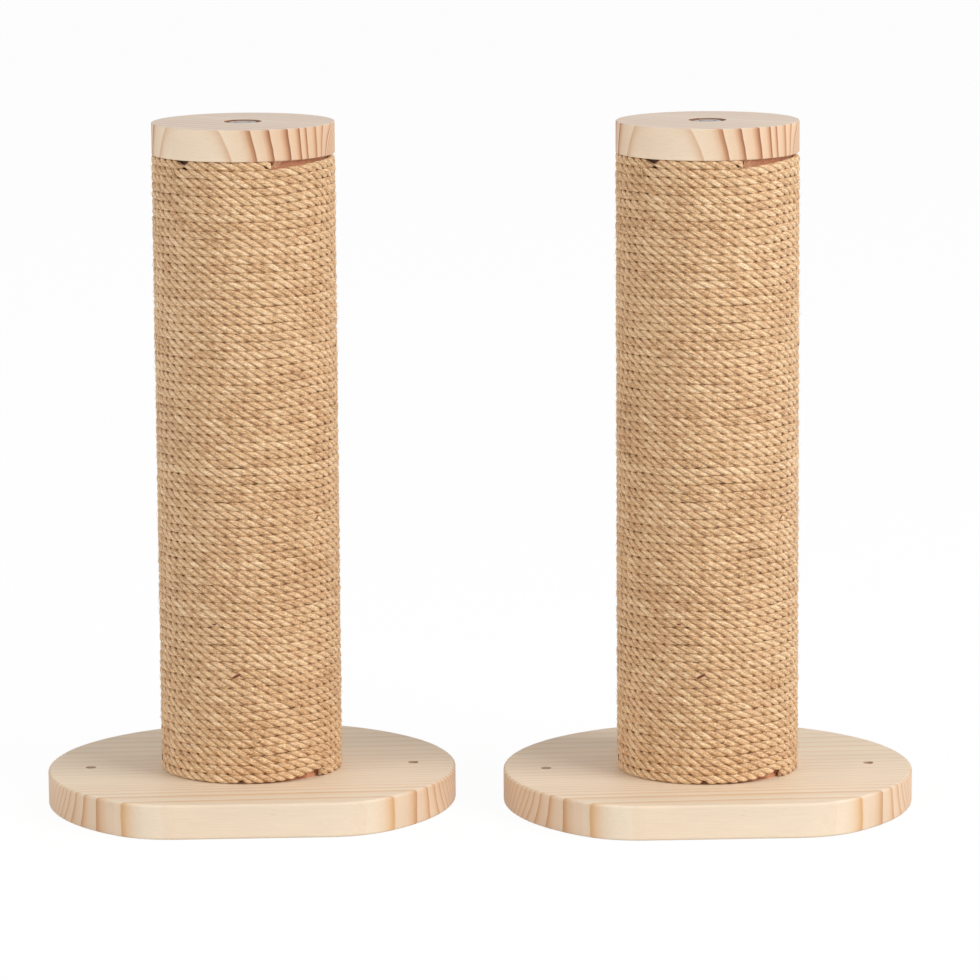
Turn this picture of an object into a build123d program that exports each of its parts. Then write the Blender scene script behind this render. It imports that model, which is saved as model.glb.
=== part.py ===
from build123d import *
from math import asin, cos, degrees, hypot, pi, radians, sin
import os

# A pair of rope-wound scratching posts. Each post is a pine base plate, a paper tube wound with jute rope,
# and a pine cap, drawn together by one threaded rod with a nut and a washer at each end.
# Millimetres, +Z up. The origin is on the floor, in the middle of the pair's box, and X runs from post to post.

# The pair on the floor
plate_gap = 23.0            # free floor between the two base plates
row_stagger = 18.0          # the right post stands this much nearer to the viewer

# Base plate: a round pine board with one flat cut along its front
plate_diameter = 200.0
plate_thickness = 17.0
flat_cut = 14.0             # how far the flat cuts into the round
plate_corner_radius = 44.0  # blend between the flat and the round
plate_edge_radius = 1.3     # sanded top and bottom edges
screw_hole_diameter = 5.0
screw_edge_distance = 20.8  # from a hole's centre to the round end of the plate

# Post: the paper tube and its wooden plugs
post_length = 302.0         # between the plate and the cap
core_outer_diameter = 81.2
core_wall = 5.0
plug_thickness = 18.0
plug_fit = 0.1              # radial play of a plug in the tube
plug_chamfer = 0.6

# Jute rope, wound once from the cap down to the plate
rope_diameter = 3.6
turn_gap = 0.48             # between one turn's surface and the next
rope_seat = 0.1             # radial play between the rope and the tube
rope_end_gap = 0.15         # between the end turns and the wood
turns_at_each_end = 12      # turns modelled one by one at the top, and again at the bottom
rope_start_from_front = 17.0    # degrees, rightwards from the front, where the rope's upper end lies
rope_finish_from_front = 51.0   # degrees, rightwards from the front, where its lower end lies

# Tacks that hold the two rope ends to the tube
tack_head_diameter = 3.0
tack_head_thickness = 0.5
tack_shank_diameter = 1.2
tack_hole_play = 0.05       # radial
tack_point_gap = 0.8        # the point stops this short of the tube's inner wall

# Cap: a pine disc
cap_thickness = 15.3
cap_inset = 0.1             # the cap's side stands this far inside the rope's outer surface
cap_edge_radius = 0.5

# M8 hardware
rod_diameter = 8.0
rod_hole_play = 0.25        # radial, through the wood
rod_end_chamfer = 0.8
thread_play = 0.03          # radial, between the rod and a nut
nut_width = 13.0            # across flats
nut_height = 6.5
nut_corner_chamfer = 12.0   # degrees of the turned bevel on the nut's corners
nut_turn = 4.0              # degrees, so that one corner points a little to the left of the front
washer_diameter = 16.0
washer_thickness = 1.6
washer_play = 0.2           # radial, round the rod
recess_diameter = 18.0
top_nut_sink = 0.4          # the upper nut ends this far below the cap's top
bottom_rod_sink = 0.5       # the rod's lower end stops this far above the floor
rod_stub = 1.5              # thread past the lower nut

# Places that follow from the sizes
post_spacing = plate_diameter + plate_gap
plate_depth = plate_diameter - flat_cut
row_middle = -flat_cut / 2  # the middle of the two axes, so that the pair's box is centred on the origin
screw_spacing = plate_diameter - 2 * screw_edge_distance
core_bottom = plate_thickness
core_top = plate_thickness + post_length
cap_top = core_top + cap_thickness
core_radius = core_outer_diameter / 2
core_inner_radius = core_radius - core_wall
rope_radius = rope_diameter / 2
winding_radius = core_radius + rope_seat + rope_radius
winding_outer_radius = winding_radius + rope_radius
cap_radius = winding_outer_radius - cap_inset
rod_hole_radius = rod_diameter / 2 + rod_hole_play
top_nut_bottom = cap_top - top_nut_sink - nut_height
top_recess_floor = top_nut_bottom - washer_thickness
bottom_nut_bottom = bottom_rod_sink + rod_stub
bottom_nut_top = bottom_nut_bottom + nut_height
bottom_recess_floor = bottom_nut_top + washer_thickness

# The rope climbs one pitch a turn. Turns counted from the lower end of each run, anticlockwise from above.
rope_pitch = hypot(rope_diameter + turn_gap, (rope_diameter + turn_gap) ** 2 / (2 * pi * winding_radius))
front = -90.0
upper_run_top = core_top - rope_end_gap - rope_radius
upper_run_bottom = upper_run_top - turns_at_each_end * rope_pitch
lower_run_bottom = core_bottom + rope_end_gap + rope_radius
lower_run_top = lower_run_bottom + turns_at_each_end * rope_pitch
tack_shank_length = rope_diameter + rope_seat + core_wall - tack_point_gap

posts = {
    "left": Vector(-post_spacing / 2, row_middle + row_stagger / 2),
    "right": Vector(post_spacing / 2, row_middle - row_stagger / 2),
}


def level(post, height):
    """The horizontal plane at a height, centred on a post's axis."""
    return Plane(origin=(post.X, post.Y, height))


def around(post, angle, radius, height):
    """The point at an angle, a radius and a height round a post's axis."""
    return Vector(post.X + radius * cos(radians(angle)), post.Y + radius * sin(radians(angle)), height)


def outward(angle):
    return Vector(cos(radians(angle)), sin(radians(angle)), 0)


def along_rope(angle):
    """The direction in which the rope climbs at an angle round the post."""
    climb = rope_pitch / (2 * pi * winding_radius)
    return Vector(-sin(radians(angle)), cos(radians(angle)), climb).normalized()


def biarc(start, start_way, end, end_way):
    """Two arcs that leave start along start_way and reach end along end_way, tangent where they meet."""
    across = end - start
    ways = start_way + end_way
    turn = 2 * (1 - start_way.dot(end_way))
    reach = (-across.dot(ways) + (across.dot(ways) ** 2 + turn * across.dot(across)) ** 0.5) / turn
    middle = (start + end + (start_way - end_way) * reach) / 2
    first = TangentArc(start, middle, tangent=start_way)
    TangentArc(middle, end, tangent=first % 1)


def least_gap(edges, tube_diameter):
    """The least distance between a tube's surface and itself, one turn apart, on points along its path."""
    samples_per_edge = 16
    points = [edge @ (step / samples_per_edge) for edge in edges for step in range(samples_per_edge)]
    half_turn = 2 * samples_per_edge
    distances = [
        (points[i] - points[j]).length
        for i in range(len(points))
        for j in range(i + half_turn, len(points))
        if j - i < 4 * half_turn
    ]
    return min(distances) - tube_diameter


def wound_rope(post, lower_angle, lower_height):
    """One unbroken run of turns on half-turn biarcs, with a straight end one rope diameter long at each end."""
    turn_marks = [lower_angle + 180.0 * half for half in range(2 * turns_at_each_end + 1)]
    points = [
        around(post, angle, winding_radius, lower_height + rope_pitch * (angle - lower_angle) / 360.0)
        for angle in turn_marks
    ]
    ways = [along_rope(angle) for angle in turn_marks]
    with BuildPart() as rope:
        with BuildLine() as path:
            Line(points[0] - ways[0] * rope_diameter, points[0])
            for i in range(len(points) - 1):
                biarc(points[i], ways[i], points[i + 1], ways[i + 1])
            Line(points[-1], points[-1] + ways[-1] * rope_diameter)
        with BuildSketch(Plane(origin=points[0] - ways[0] * rope_diameter, z_dir=ways[0])):
            Circle(rope_radius)
        sweep()
    edges = path.edges()
    return rope, least_gap(edges[1:-1], rope_diameter)


# The upper end of the rope lies at one angle and the lower end at another, and each run has whole turns.
upper_angle = front + rope_start_from_front
lower_angle = front + rope_finish_from_front


def tack_plane(post, end):
    """The plane on the rope's outer surface where a tack enters, facing out from the post."""
    angle, height, way = {
        "upper": (upper_angle, upper_run_top, 1),
        "lower": (lower_angle, lower_run_bottom, -1),
    }[end]
    on_rope = around(post, angle, winding_radius, height) + along_rope(angle) * (way * rope_radius)
    return Plane(origin=on_rope + outward(angle) * rope_radius, z_dir=outward(angle))


def base_plate(post):
    with BuildPart() as plate:
        with BuildSketch(level(post, 0)):
            Circle(plate_diameter / 2)
            with Locations((0, flat_cut / 2)):
                Rectangle(plate_diameter, plate_depth, mode=Mode.INTERSECT)
            front_corners = vertices().group_by(Axis.Y)[0]
            fillet(front_corners, radius=plate_corner_radius)
        extrude(amount=plate_thickness)
        rims = edges().group_by(Axis.Z)
        fillet(rims[0] + rims[-1], radius=plate_edge_radius)
        with Locations(level(post, plate_thickness)):
            Hole(rod_hole_radius)
            with GridLocations(screw_spacing, 0, 2, 1):
                Hole(screw_hole_diameter / 2)
        with BuildSketch(level(post, 0)):
            Circle(recess_diameter / 2)
        extrude(amount=bottom_recess_floor, mode=Mode.SUBTRACT)
    return plate


def core_tube(post):
    with BuildPart() as tube:
        with BuildSketch(level(post, core_bottom)):
            Circle(core_radius)
            Circle(core_inner_radius, mode=Mode.SUBTRACT)
        extrude(amount=post_length)
        for end in ("upper", "lower"):
            with BuildSketch(tack_plane(post, end)):
                Circle(tack_shank_diameter / 2 + tack_hole_play)
            extrude(amount=-(tack_shank_length + tack_point_gap / 2), mode=Mode.SUBTRACT)
    return tube


def plug(post, height):
    with BuildPart() as disc:
        with BuildSketch(level(post, height)):
            Circle(core_inner_radius - plug_fit)
            Circle(rod_hole_radius, mode=Mode.SUBTRACT)
        extrude(amount=plug_thickness)
        outer_rims = edges().filter_by(GeomType.CIRCLE).filter_by(lambda rim: rim.radius > rod_diameter)
        chamfer(outer_rims, length=plug_chamfer)
    return disc


def lower_plug(post):
    return plug(post, core_bottom)


def upper_plug(post):
    return plug(post, core_top - plug_thickness)


def end_turns(post, end, angle, height):
    """The turns at one end of the winding, with the hole that the tack passes through."""
    rope, gap = wound_rope(post, angle, height)
    with BuildPart() as turns:
        add(rope.part)
        with BuildSketch(tack_plane(post, end)):
            Circle(tack_shank_diameter / 2 + tack_hole_play)
        extrude(amount=-1.5 * rope_diameter, mode=Mode.SUBTRACT)
    print(f"{end} rope turns: least gap to itself {gap:.3f} mm")
    return turns


def rope_top_turns(post):
    return end_turns(post, "upper", upper_angle, upper_run_bottom)


def rope_bottom_turns(post):
    return end_turns(post, "lower", lower_angle, lower_run_bottom)


def rope_middle(post):
    """The turns between the two ends, as one closed sleeve with the winding's outer shape."""
    bottom = lower_run_top + rope_radius + turn_gap
    top = upper_run_bottom - rope_radius - turn_gap
    with BuildPart() as sleeve:
        with BuildSketch(level(post, bottom)):
            Circle(winding_outer_radius)
            Circle(core_radius + rope_seat, mode=Mode.SUBTRACT)
        extrude(amount=top - bottom)
    return sleeve


def rope_tacks(post):
    with BuildPart() as tacks:
        for end in ("upper", "lower"):
            with BuildSketch(tack_plane(post, end)):
                Circle(tack_head_diameter / 2)
            extrude(amount=tack_head_thickness)
            with BuildSketch(tack_plane(post, end)):
                Circle(tack_shank_diameter / 2)
            extrude(amount=-tack_shank_length)
    return tacks


def cap(post):
    with BuildPart() as disc:
        with BuildSketch(level(post, core_top)):
            Circle(cap_radius)
        extrude(amount=cap_thickness)
        fillet(edges(), radius=cap_edge_radius)
        with Locations(level(post, cap_top)):
            CounterBoreHole(rod_hole_radius, recess_diameter / 2, cap_top - top_recess_floor)
    return disc


def through_rod(post):
    with BuildPart() as rod:
        with BuildSketch(level(post, bottom_rod_sink)):
            Circle(rod_diameter / 2)
        extrude(amount=cap_top - top_nut_sink - bottom_rod_sink)
        chamfer(edges().filter_by(GeomType.CIRCLE), length=rod_end_chamfer)
    return rod


def hex_nut(post, height):
    """A hexagon nut with its corners turned off at both ends."""
    corner_radius = nut_width / 2 / cos(radians(30))
    bevel_drop = (corner_radius - nut_width / 2) * sin(radians(nut_corner_chamfer)) / cos(radians(nut_corner_chamfer))
    with BuildPart() as nut:
        with BuildSketch(level(post, height)):
            RegularPolygon(corner_radius, 6, rotation=front + nut_turn)
        extrude(amount=nut_height)
        with BuildSketch(Plane(origin=(post.X, post.Y, height), x_dir=(1, 0, 0), z_dir=(0, -1, 0))):
            with BuildLine():
                Polyline(
                    (0, 0),
                    (nut_width / 2, 0),
                    (corner_radius, bevel_drop),
                    (corner_radius, nut_height - bevel_drop),
                    (nut_width / 2, nut_height),
                    (0, nut_height),
                    close=True,
                )
            make_face()
        revolve(axis=Axis((post.X, post.Y, 0), (0, 0, 1)), mode=Mode.INTERSECT)
        with Locations(level(post, height + nut_height)):
            Hole(rod_diameter / 2 + thread_play)
    return nut


def top_nut(post):
    return hex_nut(post, top_nut_bottom)


def bottom_nut(post):
    return hex_nut(post, bottom_nut_bottom)


def washer(post, height):
    with BuildPart() as ring:
        with BuildSketch(level(post, height)):
            Circle(washer_diameter / 2)
            Circle(rod_diameter / 2 + washer_play, mode=Mode.SUBTRACT)
        extrude(amount=washer_thickness)
    return ring


def top_washer(post):
    return washer(post, top_recess_floor)


def bottom_washer(post):
    return washer(post, bottom_nut_top)


pieces = (
    base_plate,
    core_tube,
    lower_plug,
    upper_plug,
    rope_top_turns,
    rope_middle,
    rope_bottom_turns,
    rope_tacks,
    cap,
    through_rod,
    top_nut,
    top_washer,
    bottom_nut,
    bottom_washer,
)

os.makedirs("parts", exist_ok=True)
for side, post in posts.items():
    for make in pieces:
        piece = make(post)
        piece.part.label = f"{side}_{make.__name__}"
        export_step(piece.part, f"parts/{piece.part.label}.step")

real_turns = (post_length - rope_diameter) / rope_pitch
rope_length = real_turns * hypot(2 * pi * winding_radius, rope_pitch) / 1000
print(f"each post: {post_length:.0f} mm of winding is about {real_turns:.0f} turns, {rope_length:.1f} m of rope")
print(f"pair: {post_spacing + plate_diameter:.1f} x {plate_depth + row_stagger:.1f} x {cap_top:.1f} mm")
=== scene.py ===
# %% [markdown]
# A pair of rope-wound posts.
# Each post is a pine base plate, a paper tube wound with jute rope, and a pine cap, held together by one
# threaded rod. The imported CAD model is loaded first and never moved, so that everything made here has a
# fixed place to go. Its wood, tube and steel are kept and only get a finish. The rope is made anew, strand
# by strand.

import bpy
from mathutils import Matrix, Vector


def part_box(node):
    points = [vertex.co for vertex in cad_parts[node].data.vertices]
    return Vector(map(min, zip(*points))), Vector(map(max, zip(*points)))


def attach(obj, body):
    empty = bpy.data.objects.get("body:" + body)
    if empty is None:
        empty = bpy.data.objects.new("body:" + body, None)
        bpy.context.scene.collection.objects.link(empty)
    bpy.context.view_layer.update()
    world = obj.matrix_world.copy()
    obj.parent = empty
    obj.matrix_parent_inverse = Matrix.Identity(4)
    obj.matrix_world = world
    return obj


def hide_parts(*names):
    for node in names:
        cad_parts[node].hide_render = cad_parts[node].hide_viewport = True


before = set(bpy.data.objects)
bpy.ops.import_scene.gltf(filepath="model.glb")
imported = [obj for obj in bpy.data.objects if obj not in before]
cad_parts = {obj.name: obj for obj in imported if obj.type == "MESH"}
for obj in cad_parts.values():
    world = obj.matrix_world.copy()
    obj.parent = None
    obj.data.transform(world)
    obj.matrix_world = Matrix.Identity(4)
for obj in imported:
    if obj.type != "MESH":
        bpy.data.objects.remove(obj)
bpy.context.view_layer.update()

# %% [markdown]
# Tools and places.
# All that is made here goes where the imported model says, so the main places are read from its boxes: each
# post's axis, the tube and the winding's outside, and the two faces of wood that the rope runs between.

# %% Tools of the trade
from math import atan2, ceil, cos, degrees, floor, pi, radians, sin

import bpy
import numpy as np
from mathutils import Matrix, Vector

mm = 0.001
sides = ("left", "right")


def deselect_all():
    """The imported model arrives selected, and an operator acts on all that is selected."""
    bpy.ops.object.select_all(action="DESELECT")


def axis_of(side):
    """The foot of a post's vertical axis, on the floor."""
    low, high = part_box(f"{side}_core_tube")
    return Vector(((low.x + high.x) / 2, (low.y + high.y) / 2, 0.0))


axes = {side: axis_of(side) for side in sides}
core_radius = (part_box("left_core_tube")[1].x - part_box("left_core_tube")[0].x) / 2
winding_radius = (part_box("left_rope_middle")[1].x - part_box("left_rope_middle")[0].x) / 2
plate_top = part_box("left_core_tube")[0].z
cap_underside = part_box("left_core_tube")[1].z
print("tube radius", round(core_radius, 4), "winding radius", round(winding_radius, 4))
print("winding from", round(plate_top, 4), "to", round(cap_underside, 4))


def on_winding(side, from_front, height, radius):
    """A point on the winding, its outward way and the way round, by degrees to the right of the front."""
    angle = radians(from_front - 90.0)
    out = np.array([cos(angle), sin(angle), 0.0])
    round_way = np.array([-sin(angle), cos(angle), 0.0])
    return np.array(axes[side]) + out * radius + np.array([0, 0, height]), out, round_way


# %% [markdown]
# The camera.
# The photograph was taken with a long lens from a little above, so that the two posts stay almost upright and
# alike. The angles and the distance come from fitting the plates' holes, the caps and the winding's sides.

# %% Camera
view_azimuth, view_elevation, view_roll = radians(-2.519), radians(9.613), radians(-0.393)
view_distance = 2.54328
aim_right, aim_height = 0.117868, 0.153283
photo_width, focal_pixels = 980, 5215.4

backward = Vector((
    sin(view_azimuth) * cos(view_elevation),
    -cos(view_azimuth) * cos(view_elevation),
    sin(view_elevation),
))
level_right = Vector((cos(view_azimuth), sin(view_azimuth), 0.0))
level_up = backward.cross(level_right)
aim = axes["left"] + level_right * aim_right + Vector((0, 0, aim_height))

deselect_all()
bpy.ops.object.camera_add()
camera = bpy.context.object
camera.name = "camera"
camera.data.sensor_width = 36.0
camera.data.lens = 36.0 * focal_pixels / photo_width
camera.data.clip_start, camera.data.clip_end = 0.1, 100.0
turn = Matrix((
    level_right * cos(view_roll) + level_up * sin(view_roll),
    level_up * cos(view_roll) - level_right * sin(view_roll),
    backward,
)).transposed()
camera.matrix_world = Matrix.Translation(aim + backward * view_distance) @ turn.to_4x4()
bpy.context.scene.camera = camera
print("lens", round(camera.data.lens, 2), "mm, camera at", [round(v, 3) for v in camera.location])

# %% [markdown]
# Helpers for the finishes.
# Every finish is made of nodes, so that it has detail at any distance. A small helper adds one node, sets or
# links its inputs and hands back an output, which keeps each recipe readable from top to bottom.

# %% Node helpers


def colour(red, green, blue):
    """A colour as a screen shows it, 0 to 255, in the linear numbers that the shader wants."""
    values = []
    for level in (red, green, blue):
        part = level / 255
        values.append(part / 12.92 if part <= 0.04045 else ((part + 0.055) / 1.055) ** 2.4)
    return (*values, 1.0)


def add_node(tree, kind, inputs=None, output=0, **settings):
    """Adds one node, sets or links its inputs, and hands back one of its outputs."""
    node = tree.nodes.new("ShaderNode" + kind)
    for name, value in settings.items():
        setattr(node, name, value)
    for place, value in (inputs or {}).items():
        if isinstance(value, bpy.types.NodeSocket):
            tree.links.new(value, node.inputs[place])
        else:
            node.inputs[place].default_value = value
    return node.outputs[output]


def times(tree, one, other):
    return add_node(tree, "Math", {0: one, 1: other}, operation="MULTIPLY")


def plus(tree, one, other):
    return add_node(tree, "Math", {0: one, 1: other}, operation="ADD")


def stretched(tree, place, sizes):
    """A place divided by a pattern's size along each axis, in metres."""
    return add_node(tree, "VectorMath", {0: place, 1: [1 / size for size in sizes]}, operation="MULTIPLY")


def noise(tree, place, detail=2.0, roughness=0.5):
    """A cloudy pattern from 0 to 1 with features about one unit across."""
    inputs = {"Vector": place, "Scale": 1.0, "Detail": detail, "Roughness": roughness}
    return add_node(tree, "TexNoise", inputs)


def mapped(tree, value, low, high, new_low, new_high):
    """A value carried from one range to another, and held at its ends."""
    inputs = {"Value": value, "From Min": low, "From Max": high, "To Min": new_low, "To Max": new_high}
    return add_node(tree, "MapRange", inputs)


def blend_colours(tree, amount, first, second, way="MIX"):
    inputs = {0: amount, 6: first, 7: second}
    return add_node(tree, "Mix", inputs, output=2, data_type="RGBA", blend_type=way)


def ramp(tree, amount, stops):
    """Colours or greys at places from 0 to 1."""
    output = add_node(tree, "ValToRGB", {"Fac": amount})
    elements = output.node.color_ramp.elements
    while len(elements) < len(stops):
        elements.new(1.0)
    for element, (place, value) in zip(elements, stops):
        element.position = place
        element.color = value if isinstance(value, tuple) else (value, value, value, 1.0)
    return output


def curve(tree, value, points):
    """A value from 0 to 1 read off a line through points."""
    output = add_node(tree, "FloatCurve", {"Value": value})
    mapping = output.node.mapping
    line = mapping.curves[0]
    line.points[0].location = points[0]
    line.points[1].location = points[-1]
    for point in points[1:-1]:
        line.points.new(*point)
    for point in line.points:
        point.handle_type = "VECTOR"
    mapping.update()
    return output


def start_finish(name):
    """A new material with its shader, and the place on the piece in metres."""
    material = bpy.data.materials.new(name)
    material.use_nodes = True
    tree = material.node_tree
    place = add_node(tree, "TexCoord", output=3)
    return material, tree, tree.nodes["Principled BSDF"], place


def give(node_name, material):
    """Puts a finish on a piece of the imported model."""
    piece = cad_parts[node_name]
    for material_slot in piece.material_slots:
        material_slot.material = material


# %% [markdown]
# Floor and background.
# The photograph has a plain white ground. The floor is white paper, and what the camera sees of it is lifted
# to white by its own light, which lights nothing else. A small share stays plain paper, so that the posts
# still set a faint shadow on it.

# %% Floor and world


def seen_directly(tree):
    """1 for a ray from the camera, from a mirror-like surface or through glass, and 0 for soft light."""
    paths = add_node(tree, "LightPath").node
    total = plus(tree, paths.outputs["Is Camera Ray"], paths.outputs["Is Glossy Ray"])
    total = plus(tree, total, paths.outputs["Is Transmission Ray"])
    return add_node(tree, "Math", {0: total, 1: 1.0}, operation="MINIMUM")


deselect_all()
floor_size, floor_drop = 30.0, 0.2 * mm
bpy.ops.mesh.primitive_plane_add(size=floor_size, location=(0, 0, -floor_drop))
paper = bpy.context.object
paper.name = "white_floor"
paper_finish, tree, shader, _ = start_finish("white_paper")
shader.inputs["Base Color"].default_value = (0.8, 0.8, 0.8, 1.0)
shader.inputs["Roughness"].default_value = 0.9
glow = add_node(tree, "Emission", {"Color": (1, 1, 1, 1), "Strength": 1.02})
lifted = times(tree, seen_directly(tree), 0.93)
joined = add_node(tree, "MixShader", {0: lifted, 1: shader.outputs[0], 2: glow})
tree.links.new(joined, tree.nodes["Material Output"].inputs["Surface"])
paper.data.materials.append(paper_finish)

sky_light = 0.48
world = bpy.context.scene.world or bpy.data.worlds.new("studio")
bpy.context.scene.world = world
world.use_nodes = True
tree = world.node_tree
background = tree.nodes["Background"]
background.inputs["Color"].default_value = (1.0, 1.0, 1.0, 1.0)
tree.links.new(mapped(tree, seen_directly(tree), 0.0, 1.0, sky_light, 1.0), background.inputs["Strength"])
bpy.context.scene.view_settings.view_transform = "Standard"
print("floor", floor_size, "m wide, sky light", sky_light)

# %% [markdown]
# Studio light.
# The right side of each post is a little brighter than the left, and nothing throws a hard shadow: a large
# soft lamp stands to the front right, and a weaker one fills in from the front left.

# %% Lamps


half_height = Vector((0, 0, 0.16))


def soft_lamp(name, azimuth, elevation, distance, width, watts):
    """A square lamp that looks at the posts, at an angle round them measured rightwards from the front."""
    way = Vector((
        sin(radians(azimuth)) * cos(radians(elevation)),
        -cos(radians(azimuth)) * cos(radians(elevation)),
        sin(radians(elevation)),
    ))
    deselect_all()
    bpy.ops.object.light_add(type="AREA", location=half_height + way * distance)
    lamp = bpy.context.object
    lamp.name = name
    lamp.rotation_euler = (-way).to_track_quat("-Z", "Y").to_euler()
    lamp.data.size = width
    lamp.data.energy = watts
    print(name, watts, "W from", azimuth, "degrees right of the front")


soft_lamp("key_lamp", azimuth=56, elevation=32, distance=2.6, width=1.6, watts=49)
soft_lamp("fill_lamp", azimuth=-58, elevation=18, distance=2.8, width=2.0, watts=24)

# %% [markdown]
# Pine.
# A board is a slice of a log, so its figure is one solid pattern: growth rings stacked across the board,
# drawn out along the grain. The finish makes that solid pattern and the board's faces cut through it. Each
# ring starts sharply where the tree began a new year and its dark late wood fades out on one side.

# %% Pine


def ring_lines(tree, across, places, reach):
    """How dark the late wood is, 0 to 1, from the ring lines' places in millimetres across the board."""
    spot = mapped(tree, across, -reach, reach, 0.0, 1.0)
    last = len(places) - 1
    points = [((line * mm + reach) / (2 * reach), number / last) for number, line in enumerate(places)]
    count = times(tree, curve(tree, spot, points), float(last))
    into_ring = add_node(tree, "Math", {0: count}, operation="FRACT")
    late_wood = [(0.0, 0.0), (0.04, 1.0), (0.12, 0.74), (0.26, 0.34), (0.50, 0.08), (1.0, 0.0)]
    return ramp(tree, into_ring, late_wood)


board_reach = 0.115
screw_place = 79.2 * mm
screw_hole_radius, recess_radius = 2.5 * mm, 9.0 * mm


def pine(name, side, middle, grain_turn, places, depths, lean, colours, bend, painted_top_reflection=(0, 0, 0, 0),
         resin=None):
    """Pine with its ring lines at given places, in millimetres across the board from the post's axis.

    Middle is the height of the board's middle. Depths is how dark the lines are and lean is how far they
    slope, both by place from 0 to 1 across the board. Bend is how far the lines wander. The tint for a face
    that looks up, with its share, is a painted reflection of the bright surroundings seen at a glancing
    angle, and resin is a sticky band by place.
    """
    material, tree, shader, place = start_finish(name)
    from_axis = add_node(tree, "VectorMath", {0: place, 1: axes[side]}, operation="SUBTRACT")
    turned = add_node(tree, "Mapping", {"Vector": from_axis, "Rotation": (0, 0, radians(grain_turn))})
    apart = add_node(tree, "SeparateXYZ", {0: turned}).node.outputs

    slow_bend = plus(tree, noise(tree, stretched(tree, turned, (0.16, 0.034, 0.034)), 1.0), -0.5)
    quick_bend = plus(tree, noise(tree, stretched(tree, turned, (0.035, 0.008, 0.008)), 1.0), -0.5)
    across = times(tree, apart[1], -1.0)
    across = plus(tree, across, times(tree, slow_bend, bend))
    across = plus(tree, across, times(tree, quick_bend, bend / 3))
    spot = mapped(tree, across, -board_reach, board_reach, 0.0, 1.0)
    slope = plus(tree, times(tree, curve(tree, spot, lean), 2.0), -1.0)
    above_middle = plus(tree, apart[2], -middle)
    across = plus(tree, across, times(tree, times(tree, slope, above_middle), -1.0))

    late = ring_lines(tree, across, places, board_reach)
    depth = curve(tree, mapped(tree, across, -board_reach, board_reach, 0.0, 1.0), depths)
    facing = add_node(tree, "VectorRotate", {
        "Vector": add_node(tree, "TexCoord", output=1), "Angle": radians(grain_turn),
    }, rotation_type="Z_AXIS")
    end_grain = add_node(tree, "Math", {0: add_node(tree, "SeparateXYZ", {0: facing})}, operation="ABSOLUTE")
    end_grain = mapped(tree, end_grain, 0.35, 0.95, 0.0, 1.0)
    darkness = times(tree, times(tree, late, depth), mapped(tree, end_grain, 0.0, 1.0, 0.55, 1.0))
    figure = ramp(tree, darkness, list(zip((0.0, 0.36, 1.0), colours)))
    if resin:
        sticky = times(tree, times(tree, curve(tree, spot, resin), 0.75), end_grain)
        figure = blend_colours(tree, sticky, figure, colour(226, 186, 128))

    patches = noise(tree, stretched(tree, turned, (0.09, 0.02, 0.02)), 2.0)
    fibres = noise(tree, stretched(tree, turned, (0.022, 0.0007, 0.0007)), 3.0, 0.6)
    flecks = noise(tree, stretched(tree, turned, (0.006, 0.0005, 0.0005)), 1.0)
    tone = mapped(tree, patches, 0.25, 0.75, 0.955, 1.045)
    tone = plus(tree, tone, mapped(tree, fibres, 0.2, 0.8, -0.05, 0.05))
    tone = times(tree, tone, mapped(tree, flecks, 0.70, 0.80, 1.0, 0.87))

    tinted = blend_colours(tree, end_grain, figure, colour(226, 196, 172), "MULTIPLY")
    tinted = blend_colours(tree, 0.55, figure, tinted)
    grey = add_node(tree, "CombineXYZ", {0: tone, 1: tone, 2: tone})
    final = blend_colours(tree, 1.0, tinted, grey, "MULTIPLY")
    # A face that looks up gets a pale grey tint with its share: a painted reflection of the bright
    # surroundings seen at a glancing angle.
    upward = add_node(tree, "SeparateXYZ", {0: facing}, output=2)
    reflection_share = mapped(tree, upward, 0.6, 0.95, 0.0, painted_top_reflection[3])
    final = blend_colours(tree, reflection_share, final, (*painted_top_reflection[:3], 1.0))
    from_middle = add_node(tree, "SeparateXYZ", {0: from_axis}).node.outputs
    to_screw = plus(tree, add_node(tree, "Math", {0: from_middle[0]}, operation="ABSOLUTE"), -screw_place)
    # Painted shade: the walls of the screw holes and of the recess in the middle are darkened where they
    # would lie in shade.
    holes = ((to_screw, screw_hole_radius, 0.4), (from_middle[0], recess_radius, 0.85))
    for sideways, hole_radius, shade in holes:
        spot_in_hole = add_node(tree, "CombineXYZ", {0: sideways, 1: from_middle[1]})
        from_hole = add_node(tree, "VectorMath", {0: spot_in_hole}, output=1, operation="LENGTH")
        painted_hole_shade = mapped(tree, from_hole, hole_radius + 0.2 * mm, hole_radius + 0.05 * mm, 0.0, shade)
        final = blend_colours(tree, painted_hole_shade, final, colour(160, 118, 78), "MULTIPLY")
    tree.links.new(final, shader.inputs["Base Color"])

    shine = mapped(tree, darkness, 0.0, 1.0, 0.58, 0.46)
    tree.links.new(shine, shader.inputs["Roughness"])
    height = plus(tree, times(tree, fibres, 0.6), times(tree, darkness, 0.5))
    bump = add_node(tree, "Bump", {"Strength": 0.35, "Distance": 0.12 * mm, "Height": height})
    tree.links.new(bump, shader.inputs["Normal"])
    shader.inputs["Specular IOR Level"].default_value = 0.5
    return material


plate_middle = plate_top / 2
cap_middle = (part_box("left_cap")[0].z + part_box("left_cap")[1].z) / 2
print("middle of the boards at", round(plate_middle, 4), "and", round(cap_middle, 4))

# %% [markdown]
# Base plates.
# The base plate's grain runs from end to end. Its rings stand almost upright near the front, where their
# lines are wide apart, and lean and crowd together towards the back. A honey-coloured band of resin shows
# at the front corners. Where a line is dark and where it is faint is drawn as a curve across the board.

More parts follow.
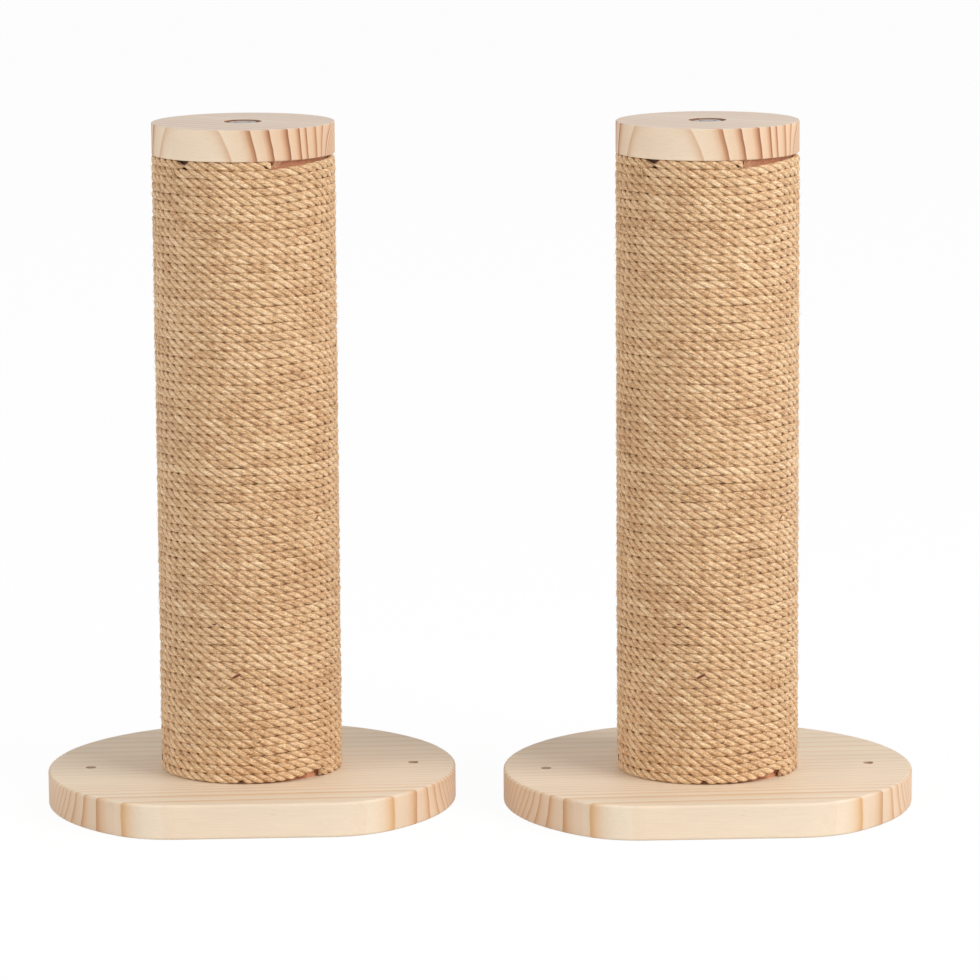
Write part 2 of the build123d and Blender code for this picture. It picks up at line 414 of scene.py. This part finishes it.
# %% Base plates
plate_rings = [
    -112, -104, -93, -84, -72, -63, -52, -42, -31, -22, -14, -7, 0, 7, 13, 18.5, 23.5, 28.5, 33, 37.5, 42,
    47.8, 54.6, 63.2, 75.3, 83.8, 95, 112,
]
plate_depths = [
    (0.0, 0.35), (0.25, 0.50), (0.5, 0.42), (0.62, 0.45), (0.66, 0.55), (0.71, 0.75), (0.76, 0.9),
    (0.81, 1.0), (0.84, 0.9), (0.858, 0.14), (1.0, 0.05),
]
plate_lean = [(0.0, 0.60), (0.42, 0.80), (0.60, 0.86), (0.67, 0.80), (0.72, 0.62), (0.78, 0.50), (1.0, 0.50)]
plate_colours = (colour(233, 215, 191), colour(222, 186, 146), colour(184, 136, 100))
plate_grain_turn = -1.7
plate_resin = [(0.0, 0.0), (0.822, 0.0), (0.829, 1.0), (0.846, 0.55), (0.858, 0.0), (1.0, 0.0)]
for side in sides:
    plate_finish = pine(f"plate_pine_{side}", side, plate_middle, plate_grain_turn, plate_rings, plate_depths,
                        plate_lean, plate_colours, bend=2.2 * mm, resin=plate_resin)
    give(f"{side}_base_plate", plate_finish)
print("base plates: figure with", len(plate_rings), "ring lines")

# %% [markdown]
# Caps and plugs.
# The cap is sawn from another board. Its grain runs away to the right, so the round side cuts the rings on
# the right half into dark strokes, and leaves the left half plain. The plugs inside the tube are offcuts.

# %% Caps
cap_grain_turn = degrees(atan2(0.59, 0.81))
plug_grain_turn = 70.0
cap_rings = [
    -112, -44, -41.5, -39, -36, -33.5, -31, -28.5, -26, -23.5, -21, -18.5, -16.3, -14, -11.8, -9.4, -4.0, 0.8,
    7.7, 11.4, 17.5, 25.7, 32.3, 39.8, 47, 112,
]
cap_depths = [
    (0.0, 0.8), (0.40, 0.8), (0.46, 0.7), (0.49, 0.5), (0.53, 0.8), (0.57, 0.95), (0.60, 1.0), (0.642, 0.95),
    (0.665, 0.50), (0.677, 0.38), (0.69, 0.05), (1.0, 0.0),
]
cap_lean = [(0.0, 0.05), (0.40, 0.08), (0.45, 0.18), (0.475, 0.42), (0.50, 0.54), (0.70, 0.60), (1.0, 0.60)]
cap_colours = (colour(235, 214, 187), colour(204, 156, 117), colour(122, 72, 46))
# The cap's top gets a pale grey tint: a painted reflection of the bright surroundings.
cap_painted_reflection = (*colour(206, 192, 182)[:3], 0.5)
for side in sides:
    cap_finish = pine(f"cap_pine_{side}", side, cap_middle, cap_grain_turn, cap_rings, cap_depths, cap_lean,
                      cap_colours, bend=1.4 * mm, painted_top_reflection=cap_painted_reflection)
    give(f"{side}_cap", cap_finish)
    plug_finish = pine(f"plug_pine_{side}", side, plate_middle, plug_grain_turn, plate_rings, plate_depths,
                       plate_lean, plate_colours, bend=4.0 * mm)
    give(f"{side}_upper_plug", plug_finish)
    give(f"{side}_lower_plug", plug_finish)
print("caps: figure with", len(cap_rings), "ring lines")

# %% [markdown]
# Paper tube.
# The tube is wound from strips of kraft paper, so its seam climbs round it like a screw thread. The seam is
# a thin dark line where height and angle together pass a whole turn. It could be cut into the mesh, but
# only a strip of the tube shows, so it is drawn in the finish. In the notch at the upper left, painted shade
# darkens the tube.

# %% Kraft paper
seam_rise = 0.11
notch_shade_from_front, notch_shade_height = -42.5, 318 * mm


def kraft_paper(side):
    """Paper for one tube, with its seam measured round that post's own axis."""
    material, tree, shader, place = start_finish(f"kraft_paper_{side}")
    from_axis = add_node(tree, "VectorMath", {0: place, 1: axes[side]}, operation="SUBTRACT")
    apart = add_node(tree, "SeparateXYZ", {0: from_axis}).node.outputs
    angle = add_node(tree, "Math", {0: apart[1], 1: apart[0]}, operation="ARCTAN2")
    climb = plus(tree, times(tree, apart[2], 1 / seam_rise), times(tree, angle, 0.5 / pi))
    seam = add_node(tree, "Math", {0: climb}, operation="FRACT")
    pulp = noise(tree, stretched(tree, from_axis, (0.004, 0.004, 0.004)), 4.0, 0.65)
    base = ramp(tree, pulp, [
        (0.25, colour(178, 118, 84)), (0.55, colour(203, 141, 108)), (0.8, colour(216, 158, 124)),
    ])
    seam_line = ramp(tree, seam, [(0.0, 0.6), (0.015, 0.6), (0.02, 0.0), (1.0, 0.0)])
    seamed = blend_colours(tree, seam_line, base, colour(140, 86, 58))
    # Painted shade: a dark spot on the tube where it shows in the notch at the upper left.
    notch_shade_place, _, _ = on_winding(side, notch_shade_from_front, notch_shade_height, core_radius)
    from_notch_shade = add_node(tree, "VectorMath", {0: place, 1: notch_shade_place}, output=1, operation="DISTANCE")
    notch_shade_share = mapped(tree, from_notch_shade, 7 * mm, 4 * mm, 0.0, 0.85)
    notch_shaded = blend_colours(tree, notch_shade_share, seamed, colour(52, 28, 18))
    tree.links.new(notch_shaded, shader.inputs["Base Color"])
    shader.inputs["Roughness"].default_value = 0.8
    tree.links.new(add_node(tree, "Bump", {"Strength": 0.3, "Distance": 0.1 * mm, "Height": pulp}),
                   shader.inputs["Normal"])
    return material


for side in sides:
    give(f"{side}_core_tube", kraft_paper(side))
print("tubes: seam rises", seam_rise, "m a turn")

# %% [markdown]
# Steel.
# The rod, the nuts and the washers are zinc plated, which is dull grey with fine scratches. The tacks are
# dark brown steel. Both are the same recipe with other colours: clouds in the plating, and long thin noise
# for the scratches, which changes the roughness as well as the relief. One function makes both, so they
# stay alike.

# %% Zinc plate and tack steel


def steel(name, dull, bright, roughness):
    """Metal between two colours, with scratches."""
    material, tree, shader, place = start_finish(name)
    cloud = noise(tree, stretched(tree, place, (0.003, 0.003, 0.003)), 3.0)
    scratches = noise(tree, stretched(tree, place, (0.004, 0.0003, 0.0003)), 2.0)
    tree.links.new(ramp(tree, cloud, [(0.3, dull), (0.7, bright)]), shader.inputs["Base Color"])
    scratched = mapped(tree, scratches, 0.2, 0.8, roughness - 0.06, roughness + 0.08)
    tree.links.new(scratched, shader.inputs["Roughness"])
    tree.links.new(add_node(tree, "Bump", {"Strength": 0.2, "Distance": 0.03 * mm, "Height": scratches}),
                   shader.inputs["Normal"])
    shader.inputs["Metallic"].default_value = 1.0
    return material


zinc = steel("zinc_plate", colour(140, 134, 132), colour(172, 166, 164), 0.40)
tack_steel = steel("tack_steel", colour(58, 40, 30), colour(92, 66, 50), 0.55)
plated_parts = ("through_rod", "top_nut", "top_washer", "bottom_nut", "bottom_washer")
for side in sides:
    for part in plated_parts:
        give(f"{side}_{part}", zinc)
print("plated parts on each post:", len(plated_parts))

# %% [markdown]
# The rope's path.
# The jute rope climbs the tube anticlockwise, one pitch a turn. Its upper end lies a little to the right of
# the front and its lower end further right. The turns next to each end are pushed up to the wood, so the
# gap that an end leaves closes within a quarter turn. Real turns also wander a little and follow their
# neighbours.

# %% The rope's path
lower_end, upper_end = radians(-40.5), radians(-72.4)
rope_half_width = 2.3 * mm
rope_half_depth = 1.95 * mm
path_radius = winding_radius - rope_half_depth
even_pitch = 4.08 * mm
turns = round((cap_underside - plate_top) / even_pitch) - 1 + (upper_end - lower_end) / (2 * pi)
lowest, highest = plate_top + even_pitch / 2, cap_underside - even_pitch / 2
pitch = (highest - lowest) / turns
rope_length = turns * 2 * pi * path_radius
chance = np.random.default_rng(73)


def wander(distance, lengths, seed):
    """A gentle wave along the rope made of several lengths, about -1 to 1."""
    draw = np.random.default_rng(seed)
    waves = [np.sin(2 * pi * distance / length + draw.uniform(0, 2 * pi)) for length in lengths]
    return sum(waves) / len(lengths) ** 0.5


def shared_wave(angle, height, seed, spread):
    """A wave over the whole post, alike on neighbouring turns, about -1 to 1."""
    draw = np.random.default_rng(seed)
    total = 0.0
    most_waves = 6
    for waves_round in range(1, most_waves + 1):
        rise = 2 * pi / (spread * draw.uniform(0.7, 1.6)) * draw.choice((-1, 1))
        total = total + np.cos(waves_round * angle + rise * height + draw.uniform(0, 2 * pi))
    return total / most_waves ** 0.5


def closing(angle_left, width, power):
    """How far a turn is pushed to the wood, in pitches, by the angle from the rope's end."""
    part = angle_left / (2 * pi)
    gap = 1 / (1 + (angle_left / width) ** power)
    left_over = 1 / (1 + (2 * pi / width) ** power)
    return (1 - part) - (gap - left_over * part)


def rope_height(angle):
    """The height of the rope's middle, by the angle it has travelled from its lower end."""
    turns_pushed = 7
    height = lowest + pitch * angle / (2 * pi)
    to_top = 2 * pi * turns - angle
    turn_from_top = np.floor(to_top / (2 * pi)).clip(0)
    past_end = 2 * pi - (to_top - 2 * pi * turn_from_top).clip(0, 2 * pi)
    height = height + pitch * closing(past_end, radians(45), 1.5) * np.exp(-turn_from_top / turns_pushed)
    turn_from_bottom = np.floor(angle / (2 * pi)).clip(0)
    before_end = 2 * pi - (angle - 2 * pi * turn_from_bottom).clip(0, 2 * pi)
    height = height - pitch * closing(before_end, radians(18), 1.6) * np.exp(-turn_from_bottom / turns_pushed)
    return height


print("rope:", round(turns, 2), "turns,", round(pitch / mm, 3), "mm pitch,", round(rope_length, 2), "m")

# %% [markdown]
# Three strands.
# A laid rope is three strands twisted round each other, and seen from outside each crossing is a slanting
# bump. The sheet of mesh that becomes the rope is therefore skewed before it is rolled up, so that its rows
# run along the strands: one row lies in each groove between them. The outer side is fine and the hidden
# side is coarse.

# %% Three strands
lay_length = 17.0 * mm
crossing = lay_length / 3
rows_per_crossing = 6
row_step = crossing / rows_per_crossing
columns = np.radians([-180, -128, -92, -70, -48, -26, -5, 16, 38, 60, 84, 118, 180])
strand_angle = np.radians(np.arange(rows_per_crossing) * 360 / 3 / rows_per_crossing - 60)
round_strand = 0.51 * np.cos(strand_angle) + np.sqrt((0.195 - 0.26 * np.sin(strand_angle) ** 2).clip(0))
strand_fullness = 0.40
strand_profile = (1 - strand_fullness) * round_strand + strand_fullness * 0.98
strand_profile /= strand_profile.max()
crossings = ceil(rope_length / crossing) + 40
crossing_size = 1 + 0.05 * chance.standard_normal(crossings).clip(-2, 2)
crossing_tint = chance.standard_normal(crossings).clip(-2, 2)
# every third crossing is the same strand again, so it keeps most of its tint
for number in range(3, crossings):
    crossing_tint[number] = 0.75 * crossing_tint[number - 3] + 0.6 * crossing_tint[number]
dents = (
    # which end, angle from that end, width, depth and half of the rope: a notch worn beside the wood
    ("top", radians(60.1), radians(4.4), 0.85, 1),
    ("top", radians(58.6), radians(1.6), 0.95, 1),
    ("top", radians(58.6), radians(1.3), 0.50, -1),
    ("bottom", radians(303.5), radians(1.8), 0.8, -1),
)
end_taper = 2.4 * mm
gap_to_wood = 0.03 * mm


def keep(run, attribute, values, kind="FLOAT"):
    """Stores a number or a vector on every point of a run, for its finish to read."""
    field = "vector" if kind == "FLOAT_VECTOR" else "value"
    data = run.data.attributes.new(attribute, kind, "POINT").data
    data.foreach_set(field, values.astype(np.float32).ravel())


def rope_run(name, side, start, end):
    """One run of the rope between two distances from its lower end."""
    first = floor((start - lay_length / 2) / row_step) - 4
    last = ceil((end + lay_length / 2) / row_step) + 4
    rows = last - first
    deselect_all()
    bpy.ops.mesh.primitive_grid_add(x_subdivisions=rows, y_subdivisions=len(columns) - 1, size=1.0)
    run = bpy.context.object
    run.name = run.data.name = name
    row = np.arange(first, last + 1)[None, :]
    around = columns[:, None]

    along = row * row_step - lay_length * around / (2 * pi)
    loose = wander(along, (0.031, 0.047, 0.083, 0.127), 11) * 0.35 * mm
    rough_height = lowest + pitch * along / (2 * pi * path_radius)
    loose = loose + shared_wave(along / path_radius, rough_height, 5, 0.05) * 0.8 * mm
    distance = along + loose
    inside = distance.clip(start, end)
    beyond = np.abs(distance - inside)
    shrink = (1 - beyond / end_taper).clip(0)
    angle = inside / path_radius

    strand = (row // rows_per_crossing).clip(0, crossings - 1)
    bulge = strand_profile[row % rows_per_crossing]
    size = bulge * (1 + (crossing_size[strand] - 1) * (bulge - bulge.min()) / (1 - bulge.min()))
    squareness = 3.3
    square = np.abs(np.cos(around)) ** squareness + np.abs(np.sin(around)) ** squareness
    square = square ** (-1 / squareness)
    size = size * square * (1 + 0.025 * wander(inside, (0.013, 0.029, 0.061), 23))
    dent_shade = np.zeros_like(size)
    for end_name, from_end, width, depth, half in dents:
        spot = angle - (2 * pi * turns - from_end) if end_name == "top" else angle - from_end
        dent = depth * np.exp(-((spot / width) ** 2)) * (np.sin(around) * half > 0.1)
        size = size * (1 - dent)
        dent_shade = np.maximum(dent_shade, dent)

    height = rope_height(angle)
    room = ((np.minimum(height - plate_top, cap_underside - height)) / (14 * mm)).clip(0, 1)
    free = shared_wave(angle + lower_end, height, 3, 0.09) * 0.38 * mm
    free = free + wander(inside, (0.019, 0.037, 0.059, 0.11), 31) * 0.09 * mm
    spacing = (rope_height(angle + 2 * pi) - rope_height(angle - 2 * pi)) / (2 * pitch)
    spread = np.where((angle > 2 * pi) & (angle < 2 * pi * (turns - 1)), spacing, 1.0).clip(0.92, 1.15)

    radius = path_radius + rope_half_depth * size * shrink * np.cos(around)
    radius = np.maximum(radius, core_radius + gap_to_wood)
    up = height + free * room + rope_half_width * spread * size * shrink * np.sin(around)
    up = up.clip(plate_top + gap_to_wood, cap_underside - gap_to_wood)
    place = np.stack([
        axes[side].x + radius * np.cos(angle + lower_end),
        axes[side].y + radius * np.sin(angle + lower_end),
        up,
    ], -1)
    run.data.vertices.foreach_set("co", place.astype(np.float32).ravel())

    ones = np.ones_like(distance)
    lower_cut = (start == 0.0) & (distance < start)
    upper_cut = (end == rope_length) & (distance > end)
    keep(run, "fresh_cut", (beyond > 0) & (lower_cut | upper_cut))
    lay = np.stack([inside, rope_half_width * around * ones, row * row_step * ones], -1)
    keep(run, "lay", lay, "FLOAT_VECTOR")
    # The groove value darkens the jute: painted shade in the grooves between strands and, more strongly, in
    # the notches.
    valley = (1 - bulge) / (1 - strand_profile.min())
    keep(run, "groove", np.maximum(valley, 1.6 * dent_shade) * ones)
    keep(run, "tint", crossing_tint[strand] * ones)

    bpy.ops.object.mode_set(mode="EDIT")
    bpy.ops.mesh.select_all(action="SELECT")
    bpy.ops.mesh.remove_doubles(threshold=0.002 * mm)
    bpy.ops.object.mode_set(mode="OBJECT")
    bpy.ops.object.shade_smooth()
    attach(run, f"{side}_post")
    return run


# %% [markdown]
# Jute.
# Jute is pale straw with darker and redder fibres in it. Streaks follow the fibres, each strand has its own
# tone, and the grooves and notches are darkened with painted shade. Its fuzz gives it a soft sheen at a
# glancing angle.

# %% Jute finish
jute, tree, shader, place = start_finish("jute_rope")
lay_place = add_node(tree, "Attribute", output=1, attribute_name="lay")
groove = add_node(tree, "Attribute", output=2, attribute_name="groove")
tint = add_node(tree, "Attribute", output=2, attribute_name="tint")
apart = add_node(tree, "SeparateXYZ", {0: lay_place}).node.outputs
leaning = plus(tree, apart[1], times(tree, apart[0], 0.35))
fibre_place = add_node(tree, "CombineXYZ", {
    0: times(tree, apart[0], 1 / (2.4 * mm)),
    1: times(tree, leaning, 1 / (0.42 * mm)),
    2: times(tree, apart[2], 60.0),
})
fibres = noise(tree, fibre_place, 3.0, 0.6)
speckle = noise(tree, stretched(tree, place, (0.0008, 0.0008, 0.0005)), 2.0, 0.65)
patches = noise(tree, stretched(tree, place, (0.02, 0.02, 0.012)), 3.0, 0.55)
mixed = plus(tree, times(tree, fibres, 0.6), times(tree, speckle, 0.4))
mixed = plus(tree, mixed, times(tree, tint, 0.018))
mixed = plus(tree, mixed, mapped(tree, patches, 0.25, 0.75, -0.03, 0.03))
straw = ramp(tree, mixed, [
    (0.34, colour(132, 86, 48)), (0.44, colour(204, 157, 109)), (0.53, colour(231, 192, 145)),
    (0.63, colour(253, 229, 190)),
])
# Painted shade: the grooves and notches are darkened towards a warm brown.
shaded = blend_colours(tree, mapped(tree, groove, 0.30, 1.0, 0.0, 0.62), straw, colour(124, 74, 34))
cut_end = add_node(tree, "Attribute", output=2, attribute_name="fresh_cut")
finished = blend_colours(tree, times(tree, cut_end, 0.3), shaded, colour(236, 212, 178))
tree.links.new(finished, shader.inputs["Base Color"])
shader.inputs["Roughness"].default_value = 0.55
shader.inputs["Specular IOR Level"].default_value = 0.5
shader.inputs["Sheen Weight"].default_value = 0.25
shader.inputs["Sheen Roughness"].default_value = 0.6
shader.inputs["Sheen Tint"].default_value = colour(255, 236, 210)
fuzz = plus(tree, fibres, times(tree, speckle, 0.5))
bump = add_node(tree, "Bump", {"Strength": 1.0, "Distance": 0.34 * mm, "Height": fuzz})
tree.links.new(bump, shader.inputs["Normal"])
print("jute finish:", len(tree.nodes), "nodes")

# %% [markdown]
# Winding.
# The whole rope would be one mesh of over half a million triangles, so it is wound in five runs. The joins
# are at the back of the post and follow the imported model, whose lowest and highest turns are pieces of
# their own.

# %% Wind the rope
back_of_post = radians(90.0) - lower_end
turn_length = 2 * pi * path_radius
bottom_turns, turns_below_top = 12, 60
middle_runs = 3
bottom_cut = (bottom_turns + back_of_post / (2 * pi)) * turn_length
top_cut = (turns_below_top + back_of_post / (2 * pi)) * turn_length
middle_length = (top_cut - bottom_cut) / middle_runs
for side in sides:
    runs = [("rope_bottom", 0.0, bottom_cut, "rope_bottom_turns")]
    for number in range(middle_runs):
        start = bottom_cut + number * middle_length
        runs.append((f"rope_middle_{number + 1}", start, start + middle_length, "rope_middle"))
    runs.append(("rope_top", top_cut, rope_length, "rope_top_turns"))
    for name, start, end, cad_node in runs:
        run = rope_run(f"{side}_{name}", side, start, end)
        run.data.materials.append(jute)
        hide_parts(f"{side}_{cad_node}")
        print(run.name, len(run.data.vertices), "points,", len(run.data.polygons), "faces")

# %% [markdown]
# Loose fibres.
# Jute is never smooth: short fibres stand off every strand, and they soften the post's outline. One fibre is
# modelled as a thin three-sided rod in four lengths, so that it can bend. Each of the thousands of copies is
# bent and laid along the rope by itself, and all of a post's fibres are one piece.

# %% One fibre and one chip


def thin_rod(name, corners, joints):
    """A rod of unit height and unit radius, with rings of points along it so that a copy can bend."""
    deselect_all()
    bpy.ops.mesh.primitive_cylinder_add(vertices=corners, radius=1.0, depth=1.0, location=(0, 0, 0.5))
    rod = bpy.context.object
    rod.name = name
    bpy.ops.object.transform_apply(location=True, rotation=False, scale=False)
    bpy.ops.object.mode_set(mode="EDIT")
    for joint in range(1, joints):
        bpy.ops.mesh.select_all(action="SELECT")
        bpy.ops.mesh.bisect(plane_co=(0, 0, joint / joints), plane_no=(0, 0, 1))
    bpy.ops.object.mode_set(mode="OBJECT")
    points = np.array([vertex.co for vertex in rod.data.vertices])
    faces = [list(face.vertices) for face in rod.data.polygons]
    bpy.data.objects.remove(rod)
    return points, faces


def copies(name, side, pattern, bodies, finish):
    """One piece made of many bent copies of a rod. Each body has a start, a way, an outward way and sizes."""
    points, faces = pattern
    along = points[:, 2]
    places = []
    for start, way, out, length, thickness, width, lift, bow in bodies:
        across = np.cross(way, out)
        taper = (0.35 + 0.65 * np.sqrt((1 - (2 * along - 1) ** 2).clip(0)))[:, None]
        path = start + np.outer(along * length, way) + np.outer(lift * along ** 2, out)
        path = path + np.outer(bow * 4 * along * (1 - along), across)
        body = np.outer(points[:, 0] * thickness, out) + np.outer(points[:, 1] * width, across)
        places.append(path + body * taper)
    count = len(points)
    all_faces = []
    for number in range(len(places)):
        all_faces += [[corner + count * number for corner in face] for face in faces]
    mesh = bpy.data.meshes.new(name)
    mesh.from_pydata(np.concatenate(places).tolist(), [], all_faces)
    piece = bpy.data.objects.new(name, mesh)
    bpy.context.scene.collection.objects.link(piece)
    deselect_all()
    bpy.context.view_layer.objects.active = piece
    piece.select_set(True)
    bpy.ops.object.mode_set(mode="EDIT")
    bpy.ops.mesh.select_all(action="SELECT")
    bpy.ops.mesh.normals_make_consistent(inside=False)
    bpy.ops.object.mode_set(mode="OBJECT")
    bpy.ops.object.shade_smooth()
    mesh.materials.append(finish)
    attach(piece, f"{side}_post")
    print(name, len(places), "copies,", len(all_faces), "faces")


# %% Fibres on the rope
fibre_pattern = thin_rod("fibre_pattern", corners=3, joints=4)
loose_fibres, upper_tuft, loose_strand, lower_tuft = 4200, 14, 5, 10
fibre_root = winding_radius - 0.25 * mm
up_way = np.array([0.0, 0.0, 1.0])


def fibre(side, from_front, height, slope, length, thickness, stand_off, bow):
    """One fibre: it leaves the rope at a slope from level, in degrees, and its tip stands off."""
    start, out, round_way = on_winding(side, from_front, height, fibre_root)
    way = round_way * cos(radians(slope)) + up_way * sin(radians(slope)) + out * (stand_off / length)
    return start, way / np.linalg.norm(way), out, length, thickness, thickness, stand_off * 0.6, bow


for side in sides:
    draw = np.random.default_rng(19 if side == "left" else 43)
    fibres_here = []
    for number in range(loose_fibres):
        slope = draw.normal(-12, 24) + (180 if draw.random() < 0.5 else 0)
        height = draw.uniform(plate_top + 3 * mm, cap_underside - 3 * mm)
        length = draw.uniform(2.5, 8.0) * mm
        rise = abs(length * sin(radians(slope)))
        height = min(max(height, plate_top + rise + 1 * mm), cap_underside - rise - 1 * mm)
        from_front = draw.uniform(-180, 180)
        thickness = draw.uniform(0.04, 0.09) * mm
        stand_off, bow = draw.uniform(-0.1, 0.6) * mm, draw.uniform(-0.9, 0.9) * mm
        fibres_here.append(fibre(side, from_front, height, slope, length, thickness, stand_off, bow))
    # a tuft at the rope's upper end
    for number in range(upper_tuft):
        from_front, height = 17.6 + draw.uniform(-0.5, 3.0), (316.8 + draw.uniform(-1.5, 0.3)) * mm
        slope, length = draw.uniform(10, 75), draw.uniform(2.5, 5.5) * mm
        stand_off, bow = draw.uniform(0.2, 0.8) * mm, draw.uniform(-0.5, 0.5) * mm
        fibres_here.append(fibre(side, from_front, height, slope, length, 0.07 * mm, stand_off, bow))
    # a loose strand that hangs down from the notch at the upper left
    for number in range(loose_strand):
        from_front, height = -51.4 + draw.uniform(-0.6, 0.6), (317.4 + draw.uniform(-0.5, 0.5)) * mm
        slope, length = -68 + draw.uniform(-4, 4), draw.uniform(8.5, 10.5) * mm
        thickness, bow = draw.uniform(0.14, 0.26) * mm, draw.uniform(-0.4, 0.6) * mm
        fibres_here.append(fibre(side, from_front, height, slope, length, thickness, 0.7 * mm, bow))
    # a tuft at the notch at the bottom
    for number in range(lower_tuft):
        from_front, height = draw.uniform(-9, -5.5), (18.5 + draw.uniform(0, 2.0)) * mm
        slope, length = draw.uniform(-10, 60), draw.uniform(1.5, 3.0) * mm
        stand_off, bow = draw.uniform(0.1, 0.5) * mm, draw.uniform(-0.3, 0.3) * mm
        fibres_here.append(fibre(side, from_front, height, slope, length, 0.07 * mm, stand_off, bow))
    copies(f"{side}_rope_fibres", side, fibre_pattern, fibres_here, jute)

# %% [markdown]
# Woody chips.
# Bits of the plant's stem stay in cheap jute as short dark chips. The front ones lie where the photograph
# shows them, and a few more are strewn over the rest of the post.

# %% Chips in the rope
chip_finish, tree, shader, place = start_finish("jute_stem_chips")
bark = noise(tree, stretched(tree, place, (0.0004, 0.0004, 0.0012)), 3.0, 0.6)
bark_colour = ramp(tree, bark, [(0.3, colour(84, 38, 20)), (0.7, colour(136, 70, 38))])
tree.links.new(bark_colour, shader.inputs["Base Color"])
shader.inputs["Roughness"].default_value = 0.7
chip_pattern = thin_rod("chip_pattern", corners=6, joints=6)
strewn_chips = 16
chip_depth, chip_lift, chip_bow = 0.22 * mm, 0.1 * mm, 0.12 * mm
seen_chips = (
    # degrees to the right of the front, height, slope, length and half width in millimetres
    (-11.6, 69.6, 27, 4.6, 0.60), (26.2, 53.6, 20, 2.0, 0.35), (46.9, 144.6, 40, 2.4, 0.38),
    (64.5, 111.6, 45, 2.2, 0.34), (-24.3, 95.6, 5, 2.2, 0.36), (77.0, 225.4, 50, 2.6, 0.45),
    (-82.5, 21.2, 100, 3.4, 0.55), (3.6, 37.5, 30, 1.8, 0.25),
)
for side in sides:
    draw = np.random.default_rng(7 if side == "left" else 8)
    chips = list(seen_chips)
    for number in range(strewn_chips):
        place_and_slope = (draw.uniform(95, 265), draw.uniform(25, 312), draw.uniform(-60, 60))
        chips.append((*place_and_slope, draw.uniform(1.4, 3.6), draw.uniform(0.2, 0.45)))
    bodies = []
    for from_front, height, slope, length, half_width in chips:
        start, out, round_way = on_winding(side, from_front, height * mm, winding_radius - 0.02 * mm)
        way = round_way * cos(radians(slope)) + up_way * sin(radians(slope))
        bodies.append((start, way, out, length * mm, chip_depth, half_width * mm, chip_lift, chip_bow))
    copies(f"{side}_rope_chips", side, chip_pattern, bodies, chip_finish)

# %% [markdown]
# Tacks.
# A tack holds each rope end to the tube. Its head is hammered down into the jute until it hardly shows. The
# head is a sphere cut in half and pressed flat, and the shank is a long cone. A tack could also be one spun
# profile, but two stock shapes are quicker, and nothing of the place where they meet shows.

# %% Tacks
head_radius, head_flatness, head_depth = 1.5 * mm, 0.32, 1.35 * mm
shank_radius, shank_tip, shank_length = 0.6 * mm, 0.08 * mm, 7.0 * mm
tack_from_end = 2.2 * mm


def tack(side, end_angle, height):
    """A tack with a domed head, made upright at the origin and then set into the rope at its place."""
    deselect_all()
    bpy.ops.mesh.primitive_uv_sphere_add(segments=20, ring_count=10, radius=head_radius, location=(0, 0, 0))
    head = bpy.context.object
    bpy.ops.object.mode_set(mode="EDIT")
    bpy.ops.mesh.select_all(action="SELECT")
    bpy.ops.mesh.bisect(plane_co=(0, 0, 0), plane_no=(0, 0, 1), clear_inner=True, use_fill=True)
    bpy.ops.mesh.select_all(action="SELECT")
    bpy.ops.transform.resize(value=(1, 1, head_flatness))
    bpy.ops.object.mode_set(mode="OBJECT")
    bpy.ops.mesh.primitive_cone_add(
        vertices=12, radius1=shank_radius, radius2=shank_tip, depth=shank_length,
        location=(0, 0, 0.1 * mm - shank_length / 2), rotation=(pi, 0, 0),
    )
    head.select_set(True)
    bpy.context.view_layer.objects.active = head
    bpy.ops.object.join()
    outward = Vector((cos(end_angle), sin(end_angle), 0.0))
    head.rotation_mode = "QUATERNION"
    head.rotation_quaternion = outward.to_track_quat("Z", "Y")
    head.location = axes[side] + outward * (winding_radius - head_depth) + Vector((0, 0, height))
    bpy.ops.object.transform_apply(location=True, rotation=True, scale=True)
    return head


inset = tack_from_end / path_radius
for side in sides:
    pair = [tack(side, upper_end - inset, highest), tack(side, lower_end + inset, lowest)]
    deselect_all()
    for one in pair:
        one.select_set(True)
    bpy.context.view_layer.objects.active = pair[0]
    bpy.ops.object.join()
    tacks = pair[0]
    tacks.name = tacks.data.name = f"{side}_tacks_in_rope"
    bpy.ops.object.shade_smooth_by_angle(angle=radians(40))
    tacks.data.materials.append(tack_steel)
    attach(tacks, f"{side}_post")
    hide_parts(f"{side}_rope_tacks")
    print(tacks.name, len(tacks.data.polygons), "faces")
